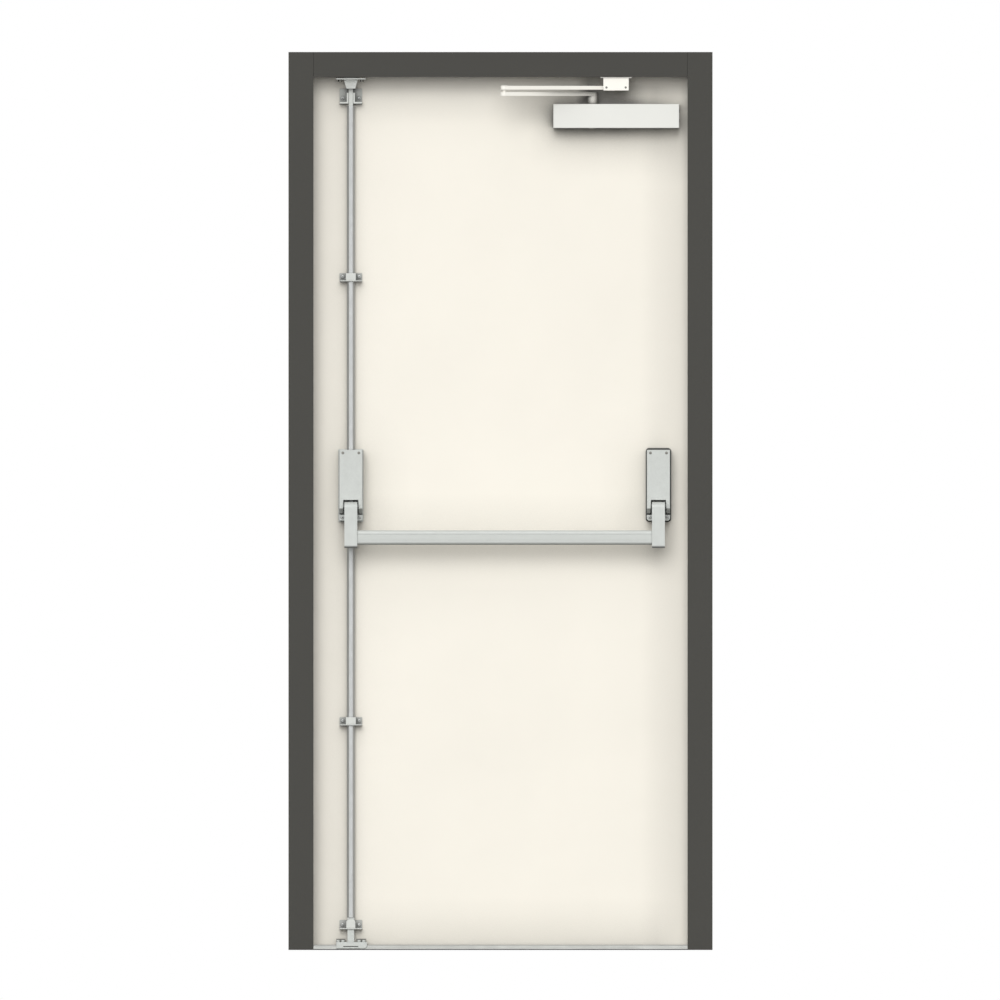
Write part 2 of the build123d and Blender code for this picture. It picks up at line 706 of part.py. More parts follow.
def right_case_base():
    """A base inside the cover, its foot block and cheeks, on the packer."""
    inside = COVER_WIDTH / 2 - COVER_WALL - BAR_FIT
    sheet = (PLATE_FRONT - RIGHT_BASE_SHEET, PLATE_FRONT)
    x = CASE_X["right"]
    margin = COVER_WALL + 1
    base = block(around(x, inside), sheet, (COVER_FOOT + margin, COVER_TOP - margin))
    neck = (COVER_FOOT - FOOT_BLOCK_GAP - 1, COVER_FOOT + margin + 1)
    base += block(around(x, SLOT_HALF - 1), sheet, neck)
    return base + foot_block("right", PACKER_CORNER / 2) + pivot_cheeks("right", sheet[0])


def case_cover(side):
    """A deep cap, cut back under its front, with a flared slot for the arm."""
    x = CASE_X[side]
    half = COVER_WIDTH / 2
    shell = block(around(x, half), (COVER_FRONT, PLATE_FRONT), (COVER_FOOT, COVER_TOP))
    shell = chamfer(low_front_edge(shell), COVER_CUT)
    front_edges = shell.edges().filter_by(Axis.Z).group_by(Axis.Y)[0]
    top_edge = shell.edges().filter_by(Axis.X).group_by(Axis.Z)[-1].sort_by(Axis.Y)[:1]
    shell = chamfer(front_edges + top_edge, COVER_EDGE)
    hollow = block(
        around(x, half - COVER_WALL),
        (COVER_FRONT + COVER_WALL, PLATE_FRONT + 1),
        (COVER_FOOT + COVER_WALL, COVER_TOP - COVER_WALL),
    )
    shell -= chamfer(low_front_edge(hollow), COVER_CUT - COVER_WALL)
    slot = outline(
        (x - SLOT_HALF - SLOT_FLARE, COVER_FOOT - 1),
        (x + SLOT_HALF + SLOT_FLARE, COVER_FOOT - 1),
        (x + SLOT_HALF - SLOT_FLARE, PIVOT_HEIGHT + SLOT_ABOVE),
        (x - SLOT_HALF + SLOT_FLARE, PIVOT_HEIGHT + SLOT_ABOVE),
    )
    return shell - along_y(slot, (COVER_FRONT - 1, PLATE_FRONT + 1))


def low_front_edge(shape):
    return shape.edges().filter_by(Axis.X).group_by(Axis.Z)[0].sort_by(Axis.Y)[0]


def left_case_cover():
    """The same cap with a notch in its top for the upper rod."""
    notch = block(
        around(ROD_X, ROD_HALF + GUIDE_FIT),
        (ROD_FRONT - GUIDE_FIT, PLATE_FRONT + 1),
        (COVER_TOP - COVER_WALL - 1, COVER_TOP + 1),
    )
    return case_cover("left") - notch


def lever_arm(side):
    """A cranked arm from the case pivot to the end of the push bar."""
    x = CASE_X[side]
    hub = (PIVOT_Y, PIVOT_HEIGHT, ARM_HUB_R)
    knee = (PIVOT_Y - ARM_KNEE_REACH, PIVOT_HEIGHT - ARM_KNEE_BELOW, ARM_HUB_R)
    toe_z = BAR_Z - ARM_TOE_BELOW + ARM_TOE_ROUND
    toes = around(BAR_Y, ARM_TOE_HALF - ARM_TOE_ROUND)
    leg = strap(knee, *((y, toe_z, ARM_TOE_ROUND) for y in toes))
    arm = along_x(strap(hub, knee) + leg, around(x, ARM_WIDTH / 2))
    boss = around(x, CHEEK_INSIDE - ARM_SIDE_PLAY)
    arm += along_x(Pos(PIVOT_Y, PIVOT_HEIGHT) * RegularPolygon(ARM_BOSS_R, 6), boss)
    arm -= axle(wider(boss, 1), PIVOT_Y, PIVOT_HEIGHT, PIVOT_R + PIVOT_FIT)
    inward = 1 if side == "left" else -1
    face = x + inward * ARM_WIDTH / 2
    play = BAR_WALL + BAR_FIT
    spigot = Rectangle(BAR_DEPTH - 2 * play, BAR_HEIGHT - 2 * play)
    spigot = chamfer(spigot.vertices(), BAR_ROUND - play)
    reach = sorted((face - inward, face + inward * BAR_SPIGOT))
    return arm + along_x(Pos(BAR_Y, BAR_Z) * spigot, reach)


def push_bar():
    """A rounded tube between the two arms, with two shallow grooves in front."""
    across = (CASE_X["left"] + ARM_WIDTH / 2, CASE_X["right"] - ARM_WIDTH / 2)
    tube = RectangleRounded(BAR_DEPTH, BAR_HEIGHT, BAR_ROUND)
    tube -= RectangleRounded(
        BAR_DEPTH - 2 * BAR_WALL, BAR_HEIGHT - 2 * BAR_WALL, BAR_ROUND - BAR_WALL
    )
    bar = along_x(Pos(BAR_Y, BAR_Z) * tube, across)
    front = around(BAR_Y - BAR_DEPTH / 2, BAR_GROOVE_DEPTH)
    for z in around(BAR_Z, BAR_GROOVE_PITCH / 2):
        bar -= block(across, front, around(z, BAR_GROOVE / 2))
    return bar


def closer_back_plate():
    margin = CLOSER_PLATE
    return block(
        (CLOSER_LEFT + margin, CLOSER_RIGHT - margin),
        (LEAF_Y - CLOSER_PLATE, LEAF_Y),
        (CLOSER_FOOT + margin, CLOSER_TOP - margin),
    )


def closer_housing():
    """The closer's body, bored right through for the spindle."""
    height = (CLOSER_FOOT, CLOSER_TOP)
    body = block((CLOSER_LEFT, CLOSER_RIGHT), (CLOSER_FRONT, LEAF_Y - CLOSER_PLATE), height)
    body = chamfer(body.faces().sort_by(Axis.Y)[0].edges(), CLOSER_EDGE)
    return body - post(SPINDLE, wider(height, 1), SPINDLE_R + ARM_FIT)


def closer_spindle():
    """The shaft through body and hub, with the nut that holds the arm."""
    shaft = post(SPINDLE, (CLOSER_FOOT - SPINDLE_BELOW, MAIN_ARM_TOP), SPINDLE_R)
    nut = RegularPolygon(SPINDLE_R + 2, 6)
    return shaft + along_z(Pos(*SPINDLE) * nut, (MAIN_ARM_TOP, MAIN_ARM_TOP + SPINDLE_NUT))


def main_arm():
    """The forged arm: a tall hub on the spindle and a flat, tapered blade."""
    blade = (MAIN_ARM_FOOT, MAIN_ARM_TOP)
    hub = (CLOSER_TOP + HUB_LIFT, MAIN_ARM_TOP)
    arm = along_z(strap((*SPINDLE, HUB_R), (*ELBOW, MAIN_ARM_END_R)), blade)
    arm += post(SPINDLE, hub, HUB_R)
    arm -= post(SPINDLE, wider(hub, 1), SPINDLE_R + ARM_FIT)
    return arm - post(ELBOW, wider(blade, 1), ELBOW_PIN_R + ARM_FIT)


def elbow_pin():
    """Pin through the main arm, with a six-sided spacer and a flat cap."""
    pin = post(ELBOW, (MAIN_ARM_FOOT, FOREARM_TOP + ARM_WASHER), ELBOW_PIN_R)
    spacer = (MAIN_ARM_TOP, FOREARM_FOOT - ARM_WASHER)
    cap = (FOREARM_TOP + ARM_WASHER, FOREARM_TOP + ARM_WASHER + ELBOW_CAP)
    pin += along_z(Pos(*ELBOW) * RegularPolygon(ELBOW_SPACER_R, 6), spacer)
    return pin + along_z(Pos(*ELBOW) * RegularPolygon(ELBOW_CAP_R, 8), cap)


def forearm():
    """The flat bar from the bracket to the elbow, with a round eye at each end."""
    height = (FOREARM_FOOT, FOREARM_TOP)
    arm = along_z(strap((*ANCHOR, FOREARM_HALF), (*ELBOW, FOREARM_HALF)), height)
    arm += post(ANCHOR, height, ANCHOR_EYE_R)
    arm -= post(ANCHOR, wider(height, 1), ANCHOR_PIN_R + ARM_FIT)
    return arm - post(ELBOW, wider(height, 1), ELBOW_EYE_R)


def arm_bracket():
    """Flange under the head, front plate, one cheek and the forearm's pivot."""
    x = ANCHOR[0] + BRACKET_RIGHT
    under = CLEAR_HEIGHT - BRACKET_SHEET
    foot = CLEAR_HEIGHT - BRACKET_DROP
    front = ANCHOR[1] - BRACKET_FRONT
    flange = (front - BRACKET_TOE, front - BRACKET_TOE + BRACKET_FLANGE_DEPTH)
    bracket = block(around(x, BRACKET_FLANGE_WIDTH / 2), flange, (under, CLEAR_HEIGHT))
    bracket += block(around(x, BRACKET_WIDTH / 2), (front, front + BRACKET_SHEET), (foot, under))
    back = flange[1] - BRACKET_TOE
    cheek = outline((front, foot), (back, (foot + 2 * under) / 3), (back, under), (front, under))
    right = x + BRACKET_WIDTH / 2
    bracket += along_x(cheek, (right - BRACKET_SHEET, right))
    boss = Pos(*ANCHOR) * RegularPolygon(2 * ANCHOR_PIN_R, 6)
    bracket += along_z(boss, (FOREARM_TOP + ARM_WASHER, under))
    cap = FOREARM_FOOT - ARM_WASHER
    bracket += post(ANCHOR, (cap - ANCHOR_CAP, under), ANCHOR_PIN_R)
    return bracket + along_z(boss, (cap - ANCHOR_CAP, cap))


def name_parts():
    """Every piece by its file name."""
    jamb = right_jamb()
    parts = {
        "left_jamb": mirrored(jamb),
        "right_jamb": jamb,
        "frame_head": frame_head(),
        "threshold": threshold(),
        "frame_seal": frame_seal(),
        "top_keep": top_keep(),
        "bottom_keep": bottom_keep(),
        "arm_bracket": arm_bracket(),
        "leaf_pan": leaf_pan(),
        "leaf_rear_sheet": leaf_rear_sheet(),
        "acoustic_core": acoustic_core(),
        "lower_rod_guide": rod_saddle(PLATE_FOOT - LOWER_GUIDE_BELOW),
        "upper_rod_guide": rod_saddle(PLATE_TOP + UPPER_GUIDE_ABOVE),
        "top_guide": top_guide(),
        "bottom_guide": bottom_guide(),
        "left_case_base": left_case_base(),
        "left_case_cover": left_case_cover(),
        "right_packer": right_packer(),
        "right_case_base": right_case_base(),
        "right_case_cover": case_cover("right"),
        "push_bar": push_bar(),
        "left_lever_arm": lever_arm("left"),
        "right_lever_arm": lever_arm("right"),
        "upper_rod": six_sided_rod((UPPER_ROD_FOOT, TOP_BOLT_FOOT)),
        "top_bolt": top_bolt(),
        "lower_rod": six_sided_rod((BOTTOM_BOLT_HEAD, LOWER_ROD_TOP)),
        "bottom_bolt": bottom_bolt(),
        "closer_back_plate": closer_back_plate(),
        "closer_housing": closer_housing(),
        "closer_spindle": closer_spindle(),
        "main_arm": main_arm(),
        "elbow_pin": elbow_pin(),
        "forearm": forearm(),
    }
    for name, middle in hinge_heights().items():
        parts[f"hinge_frame_{name}"] = hinge_frame(middle)
        parts[f"hinge_leaf_{name}"] = hinge_leaf(middle)
    return parts


for part_name, shape in name_parts().items():
    export_step(shape, f"parts/{part_name}.step")
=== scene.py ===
import json
import math

import bmesh
import bpy
from mathutils import Matrix, Vector


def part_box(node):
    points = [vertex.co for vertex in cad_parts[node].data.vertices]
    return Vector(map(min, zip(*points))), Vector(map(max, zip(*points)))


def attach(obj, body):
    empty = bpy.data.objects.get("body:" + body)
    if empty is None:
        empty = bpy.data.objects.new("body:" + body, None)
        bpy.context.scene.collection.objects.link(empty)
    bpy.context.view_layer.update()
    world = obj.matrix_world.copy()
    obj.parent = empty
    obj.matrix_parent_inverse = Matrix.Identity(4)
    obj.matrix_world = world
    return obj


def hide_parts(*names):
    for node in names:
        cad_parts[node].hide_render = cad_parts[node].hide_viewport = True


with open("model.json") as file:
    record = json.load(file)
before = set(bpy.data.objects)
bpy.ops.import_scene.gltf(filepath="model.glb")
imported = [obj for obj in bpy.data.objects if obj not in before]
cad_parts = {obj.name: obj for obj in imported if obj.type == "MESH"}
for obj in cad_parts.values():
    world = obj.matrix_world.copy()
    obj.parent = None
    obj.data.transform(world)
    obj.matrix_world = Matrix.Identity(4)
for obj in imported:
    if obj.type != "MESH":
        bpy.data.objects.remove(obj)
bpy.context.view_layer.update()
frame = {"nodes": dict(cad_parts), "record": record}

# All lengths in metres. X runs left to right across the door, Y away from the
# push side, Z up. Colours are display values from 0 to 255.
UP = Vector((0, 0, 1))
FORWARD = Vector((0, -1, 0))
DOWN = Vector((0, 0, -1))

# Photograph.
VIEW_MIDDLE = (-0.0012, 1.0824)
VIEW_SPAN = 2.4055
VIEW_DISTANCE = 6.0

# Light.
DOME = 0.40
# each lamp: azimuth from straight ahead, height and width in degrees, strength
LAMPS = {
    "key": (-5.5, 19, 38, 1.74),
    "upper": (-5, 46, 50, 0.52),
    "zenith": (0, 88, 80, 0.30),
    "rear": (165, 32, 45, 1.50),
}
FLOOR_HALF = 14.0

# Soft shade in the paint: how far away a fitting still shades the leaf.
SHELTER_REACH = 0.12
# it fades beside the jambs and under the head: from and to this far before them, and
# the share that is left over
SHELTER_SIDE = (0.075, 0.020, 0.4)
SHELTER_TOP = (0.025, 0.002, 0.1)
# round the closer it is deeper, and fades out to the left of the housing and below it
CLOSER_SHADE_REACH = 0.20
CLOSER_SHADE_LEFT = 0.060
CLOSER_SHADE_BELOW = 0.14
# it fades upward across the housing's top edge, and to this share at its right end
CLOSER_SHADE_TOP = (-0.04, 0.02)
CLOSER_SHADE_RIGHT = 0.45
# above the housing it stays between the hub and the bracket: edges from each, and shares
ABOVE_HOUSING = (-0.02, -0.01)
ABOVE_HUB = (-0.03, 0.0)
ABOVE_BRACKET = (-0.02, 0.04)
ABOVE_SHARES = (0.55, 0.15)
# painted shade on faces turned to the floor: its share of dark paint, and the tilts between which
# it fades
UNDERSIDE = (0.6, -0.9, -0.2)
UNDERSIDE_TOE = (0.85, -0.7, -0.02)
# painted shade on the guides, deeper from their channel to the plate: from and to this far off the
# leaf
PLATE_SHADE_SPAN = (0.009, 0.003)
PLATE_SHADE_SHARE = 0.45
# painted light on the top keep's apron below its flange, against the flange's shade, and painted
# shade on the flange: depths under the keep's top
APRON_LIGHT_SPAN = (0.022, 0.010)
FLANGE_SHADE_SPAN = (0.0066, 0.0062)

# Colours.
FRAME_GREY = (69, 68, 64)
LEAF_CREAM = (246, 241, 229)
SILVER = (192, 195, 191)
SILVER_SHADE = (166, 168, 167)
# a lighter copy of SILVER: painted light on the top keep, the top bolt and the guides
SILVER_PAINTED_LIGHT = (202, 204, 199)
COVER_WHITE = (230, 230, 224)
CREAM = (252, 249, 240)
SILL_GREY = (174, 175, 171)
RUBBER_BLACK = (34, 34, 33)
PACKER_BLACK = (62, 63, 60)
# grey of the dark sheets that paint the shade on the bottom keep's ears
EAR_SHADE_GREY = (110, 109, 104)
WOOL = (176, 160, 118)
ZINC = (176, 178, 176)
DARK_STEEL = (112, 111, 106)
HINGE_GREY = (188, 189, 186)
DUST = (148, 142, 130)
FLOOR_PALE = (248, 248, 247)
FLOOR_BOUNCE = (132, 132, 132)

# Screw heads: radii, the turn of the first and from each to the next in radians.
SCREW_PAN_R = 0.0044
SCREW_COVER_R = 0.0034
SCREW_FOOT_R = 0.0042
SCREW_KEEP_R = 0.0048
SCREW_CHEESE_R = 0.0044
SCREW_BRACKET_R = 0.0027
SCREW_SILL_R = 0.0060
SCREW_FLAG_R = 0.0040
SCREW_CLOSER_R = 0.0042
SCREW_TURN = (0.35, 1.9)

# Places of the screws and sizes of the trim. On the piece that carries them UP and DOWN
# start at its foot or top, OUT at its middle, and BACK and FORWARD at its front or rear.
GUIDE_SHEET = 0.0025
GUIDE_SCREW_OUT = 0.020
GUIDE_SCREW_UP = 0.011
TOP_GUIDE_SCREW_UP = 0.015
BOTTOM_GUIDE_SCREW_UP = 0.0105
COVER_SCREW_OUT = 0.01925
COVER_SCREW_DOWN = 0.0074
FOOT_SCREW_OUT = 0.0209
FOOT_SCREW_UP = 0.0103
FOOT_BLOCK_THICK = 0.0385
BRACKET_SCREW_OUT = 0.0231
BRACKET_SCREW_UP = 0.0083
BRACKET_SCREW_BACK = 0.002
CLOSER_SCREW_OUT = 0.011
CLOSER_SCREW_FORWARD = 0.004
FRAME_SHEET = 0.002
CLEAT_WIDTH = 0.012
CLEAT_SHEET = 0.0015
SEAL_WIDTH = 0.008
SEAL_FOOT = 0.004
# the seal's section: across as shares of its width, and forward as shares of its depth
SEAL_BULB = [
    (0, 0), (0, 0.20), (0.08, 0.30), (0.04, 0.48), (0.06, 0.66), (0.16, 0.85), (0.31, 0.96),
    (0.5, 1.0), (0.69, 0.96), (0.84, 0.85), (0.94, 0.66), (0.96, 0.48), (0.92, 0.30), (1, 0.20),
    (1, 0),
]
KEEP_SHEET = 0.003
KEEP_RISE = 0.003
KEEP_RISER_HALF = 0.0155
KEEP_RISER_BACK = 0.001
TRIM_SHEET = 0.0006
KEEP_SCREW_OUT = 0.026
TOP_KEEP_SCREW_BACK = 0.033
KEEP_GROOVE_HALF = 0.018
KEEP_GROOVE_UP = 0.00825
KEEP_GROOVE_WIDTH = 0.002
KEEP_GROOVE_DEPTH = 0.0025
KEEP_FLOOR_UP = 0.0065
BOTTOM_KEEP_SCREW_FORWARD = 0.019
BOTTOM_KEEP_SCREWS_OUT = (-0.0308, -0.0193, 0.0197, 0.0310)
KEEP_SLOT = 0.013
KEEP_EAR_SHORT = 0.0025
# the dark sheets that paint the shade on the bottom keep's ears
EAR_SHADE_FORWARD = 0.0055
EAR_SHADE_SHEET = 0.0004
# the dark strip that paints the shade of the rebate at the threshold's foot
SILL_SHADE_BACK = 0.0004
SILL_SHADE_DEPTH = 0.0024
SILL_SHADE_HEIGHT = 0.0019
SILL_SHADE_EDGE = 0.0002
SILL_SCREW_OUT = 0.250
SILL_SCREW_BACK = 0.032
SILL_SCREW_SINK = 0.0004
FLAG_SHEET = 0.002
# each pair of screws in a hinge's flag: off its middle, and forward of the leaf's rear
FLAG_SCREWS = ((0.044, 0.020), (0.015, 0.012))


def linear(colour):
    """A display colour as the linear colour that a shader takes."""
    scaled = [part / 255 for part in colour]
    low = [part / 12.92 if part <= 0.04045 else ((part + 0.055) / 1.055) ** 2.4 for part in scaled]
    return (*low, 1.0)


def shaded(colour, factor):
    return tuple(min(255, part * factor) for part in colour)


class Finish:
    """A procedural material being built: its shader and the nodes that feed it."""

    def __init__(self, name, metallic=0.0, specular=0.5):
        self.material = bpy.data.materials.new(name)
        self.material.use_nodes = True
        self.tree = self.material.node_tree
        self.shader = self.tree.nodes["Principled BSDF"]
        self.shader.inputs["Metallic"].default_value = metallic
        self.shader.inputs["Specular IOR Level"].default_value = specular
        coordinates = self.add("ShaderNodeTexCoord").outputs
        self.place, self.facing = coordinates["Object"], coordinates["Normal"]
        self.normal = None

    def add(self, kind, links=(), **settings):
        node = self.tree.nodes.new(kind)
        for key, value in settings.items():
            if hasattr(node, key):
                setattr(node, key, value)
            else:
                node.inputs[key.replace("_", " ")].default_value = value
        for socket, source in links:
            self.tree.links.new(source, node.inputs[socket])
        return node

    def grain(self, scale, detail=2.0, stretch=(1, 1, 1), rough=0.5):
        """Noise from 0 to 1, drawn out along an axis by a stretch below 1."""
        mapping = self.add("ShaderNodeMapping", [("Vector", self.place)], Scale=stretch)
        noise = self.add(
            "ShaderNodeTexNoise",
            [("Vector", mapping.outputs[0])],
            Scale=scale,
            Detail=detail,
            Roughness=rough,
        )
        return noise.outputs["Fac"]

    def cells(self, scale):
        """Distance to the middle of scattered grains."""
        voronoi = self.add("ShaderNodeTexVoronoi", [("Vector", self.place)], Scale=scale)
        return voronoi.outputs["Distance"]

    def span(self, value, low, high, start=0.3, end=0.7):
        """A value from start to end carried over to low to high."""
        carried = self.add("ShaderNodeMapRange", [("Value", value)])
        for socket, number in zip(("From Min", "From Max", "To Min", "To Max"),
                                  (start, end, low, high)):
            carried.inputs[socket].default_value = number
        return carried.outputs["Result"]

    def mix(self, factor, first, second):
        """Two colours, or colour sockets, mixed by a factor."""
        node = self.add("ShaderNodeMix", data_type="RGBA")
        self.tree.links.new(factor, node.inputs[0])
        for socket, value in ((node.inputs[6], first), (node.inputs[7], second)):
            if isinstance(value, bpy.types.NodeSocket):
                self.tree.links.new(value, socket)
            else:
                socket.default_value = linear(value)
        return node.outputs[2]

    def corners(self, radius):
        """0 on open faces and up to 1 along outer edges, and the rounded normal."""
        bevel = self.add("ShaderNodeBevel", samples=4, Radius=radius)
        true_normal = self.add("ShaderNodeNewGeometry").outputs["Normal"]
        dot = self.add("ShaderNodeVectorMath", operation="DOT_PRODUCT")
        self.tree.links.new(bevel.outputs[0], dot.inputs[0])
        self.tree.links.new(true_normal, dot.inputs[1])
        self.normal = bevel.outputs[0]
        return self.span(dot.outputs["Value"], 1.0, 0.0, 0.80, 0.995)

    def crevices(self, reach):
        """1 where surfaces meet at an inner corner and 0 in the open."""
        open_sky = self.add("ShaderNodeAmbientOcclusion", samples=6, Distance=reach)
        return self.span(open_sky.outputs["AO"], 1.0, 0.0, 0.25, 0.85)

    def shade(self, reach, strength):
        """Grows toward the strength where something within reach keeps the light off."""
        open_sky = self.add("ShaderNodeAmbientOcclusion", samples=8, Distance=reach)
        return self.span(open_sky.outputs["AO"], strength, 0.0, 0.30, 1.0)

    def axis(self, letter):
        return self.add("ShaderNodeSeparateXYZ", [("Vector", self.place)]).outputs[letter]

    def closer_shade(self, strength, arms=False):
        """The deep painted shade round the closer, on the leaf or on the closer's own arm."""
        low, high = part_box("closer_housing")
        zone = self.span(self.axis("X"), 0.0, 1.0, low.x - CLOSER_SHADE_LEFT, low.x)
        if not arms:
            zone = self.product(zone, self.below_housing_top())
            zone = self.maths("ADD", zone, self.above_housing())
        reached = self.span(self.axis("Z"), 0.0, 1.0, low.z - CLOSER_SHADE_BELOW, low.z)
        return self.product(self.shade(CLOSER_SHADE_REACH, strength), zone, reached)

    def below_housing_top(self):
        """1 up to the housing's top edge, and weaker toward its right end."""
        low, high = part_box("closer_housing")
        return self.product(
            self.span(self.axis("Z"), 1.0, 0.0, *[high.z + edge for edge in CLOSER_SHADE_TOP]),
            self.span(self.axis("X"), 1.0, CLOSER_SHADE_RIGHT, (low.x + high.x) / 2, high.x))

    def above_housing(self):
        """The zone over the housing, from its hub to just beyond the bracket."""
        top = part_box("closer_housing")[1].z
        hub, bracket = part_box("closer_spindle")[0].x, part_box("arm_bracket")[1].x
        return self.product(
            self.span(self.axis("Z"), 0.0, 1.0, *[top + edge for edge in ABOVE_HOUSING]),
            self.span(self.axis("X"), 0.0, 1.0, *[hub + edge for edge in ABOVE_HUB]),
            self.span(self.axis("X"), *ABOVE_SHARES, *[bracket + edge for edge in ABOVE_BRACKET]))

    def sheltered(self, strength):
        """The painted soft shade round the fittings, fading beside the jambs and under the head."""
        jamb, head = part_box("right_jamb")[0].x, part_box("frame_head")[0].z
        beside = self.maths("ABSOLUTE", self.axis("X"))
        return self.product(self.shade(SHELTER_REACH, strength),
                            self.fading(beside, jamb, *SHELTER_SIDE),
                            self.fading(self.axis("Z"), head, *SHELTER_TOP))

    def fading(self, value, edge, start, end, left_over):
        """1 up to the start before an edge, and down to what is left over at the end."""
        return self.span(value, 1.0, left_over, edge - start, edge - end)

    def undersides(self, share, steep, flat):
        """Grows toward the share of painted shade on faces that are turned to the floor at rest."""
        rise = self.add("ShaderNodeSeparateXYZ", [("Vector", self.facing)]).outputs["Z"]
        return self.span(rise, share, 0.0, steep, flat)

    def maths(self, operation, *values):
        node = self.add("ShaderNodeMath", operation=operation)
        for socket, value in zip(node.inputs, values):
            self.tree.links.new(value, socket)
        return node.outputs[0]

    def product(self, first, *others):
        for other in others:
            first = self.maths("MULTIPLY", first, other)
        return first

    def bump(self, height, depth):
        """Adds relief of a real depth to what the surface already has."""
        links = [("Height", height)]
        if self.normal is not None:
            links.append(("Normal", self.normal))
        node = self.add("ShaderNodeBump", links, Strength=1.0, Distance=depth)
        self.normal = node.outputs["Normal"]

    def done(self, colour, roughness):
        self.tree.links.new(colour, self.shader.inputs["Base Color"])
        self.tree.links.new(roughness, self.shader.inputs["Roughness"])
        if self.normal is not None:
            self.tree.links.new(self.normal, self.shader.inputs["Normal"])
        return self.material


def powder_coat(name, colour, peel, depth, roughness, specular=0.4, speck=0.01,
                shelter=0.0, closer_shade=0.0):
    """Sprayed and baked paint: soft mottling, orange peel, fine grain, rubbed edges with a painted
    highlight, painted shade in crevices, and where asked painted shade round the fittings.
    """
    coat = Finish(name, specular=specular)
    edge_highlight_and_wear = coat.corners(0.0010)
    mottle = coat.span(coat.grain(3.0, 3.0), 0, 1)
    base = coat.mix(mottle, shaded(colour, 0.990), shaded(colour, 1.006))
    speckle = coat.span(coat.grain(1400, 1.0), 0, speck, 0.45, 0.75)
    base = coat.mix(speckle, base, shaded(colour, 0.80))
    # painted highlight along the edges, together with their wear
    base = coat.mix(coat.span(edge_highlight_and_wear, 0, 0.35, 0, 1), base, shaded(colour, 1.08))
    # painted shade in the crevices
    base = coat.mix(coat.span(coat.crevices(0.006), 0, 0.30, 0, 1), base, shaded(colour, 0.62))
    # painted shade round the fittings and the closer, on the leaf or on the closer's arm
    if shelter:
        shade = coat.maths("ADD", coat.sheltered(shelter), coat.closer_shade(closer_shade))
        base = coat.mix(shade, base, shaded(colour, 0.45))
    elif closer_shade:
        base = coat.mix(coat.closer_shade(closer_shade, arms=True), base, shaded(colour, 0.30))
    coat.bump(coat.grain(peel, 2.0), depth)
    coat.bump(coat.grain(peel * 5, 1.0), depth * 0.18)
    rough = coat.span(coat.grain(peel * 0.35, 2.0), roughness - 0.05, roughness + 0.06)
    return coat.done(base, rough)


def silver_lacquer(name, colour, stretch=(1, 1, 1), metallic=0.10, roughness=0.46, brush=260,
                   plate_shade=False, lit_apron=False, crevice=0.5, crevice_reach=0.005,
                   underside=UNDERSIDE):
    """Silver paint with fine flakes over metal that was brushed before painting, with a painted
    highlight on its edges and painted shade in its crevices and on faces turned down. Where asked,
    a guide's plate gets painted shade and a keep's apron painted light.
    """
    coat = Finish(name, metallic=metallic, specular=0.35)
    edge_highlight_and_wear = coat.corners(0.0011)
    streak = coat.grain(brush, 3.0, stretch)
    base = coat.mix(coat.span(streak, 0, 1), shaded(colour, 0.985), shaded(colour, 1.010))
    flakes = coat.span(coat.cells(2600), 1, 0, 0.05, 0.32)
    base = coat.mix(coat.span(flakes, 0, 0.10, 0, 1), base, shaded(colour, 1.16))
    # painted shade toward the guide's plate and its corner with the channel
    if plate_shade:
        base = paint_plate_shade(coat, base, colour, crevice_reach)
    # painted light on the keep's apron, painted shade on its flange
    if lit_apron:
        base = paint_apron_light(coat, base, colour)
    # painted highlight along the edges, together with their wear
    base = coat.mix(coat.span(edge_highlight_and_wear, 0, 0.35, 0, 1), base, shaded(colour, 1.14))
    # painted shade in the crevices
    crevice_shade = coat.span(coat.crevices(crevice_reach), 0, crevice, 0, 1)
    base = coat.mix(crevice_shade, base, shaded(colour, 0.55))
    # painted shade on faces turned to the floor
    base = coat.mix(coat.undersides(*underside), base, shaded(colour, 0.40))
    coat.bump(streak, 0.00002)
    coat.bump(coat.grain(420, 2.0), 0.00003)
    rough = coat.span(coat.grain(90, 2.0), roughness - 0.06, roughness + 0.08)
    return coat.done(base, rough)


def paint_plate_shade(coat, base, colour, reach):
    """Paints shade on a guide toward its plate on the leaf, deepest in the corner with its channel.
    """
    leaf_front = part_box("leaf_pan")[0].y
    settled_dust_and_shade = coat.span(coat.axis("Y"), 0, PLATE_SHADE_SHARE, *[leaf_front - out for out in PLATE_SHADE_SPAN])
    base = coat.mix(settled_dust_and_shade, base, shaded(colour, 0.5))
    deep = coat.span(coat.crevices(reach), 0, 1.8, 0, 1)
    return coat.mix(coat.product(settled_dust_and_shade, deep), base, shaded(colour, 0.12))


def paint_apron_light(coat, base, colour):
    """Paints light on the upper end of the top keep's apron, where its flange's shade falls, and
    paints shade on the flange.
    """
    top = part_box("top_keep")[1].z
    apron_light_mask = coat.span(coat.axis("Z"), 0, 1, *[top - down for down in APRON_LIGHT_SPAN])
    base = coat.mix(apron_light_mask, base, shaded(colour, 1.24))
    flange_shade_mask = coat.span(coat.axis("Z"), 0, 1, *[top - down for down in FLANGE_SHADE_SPAN])
    return coat.mix(flange_shade_mask, base, shaded(colour, 0.86))


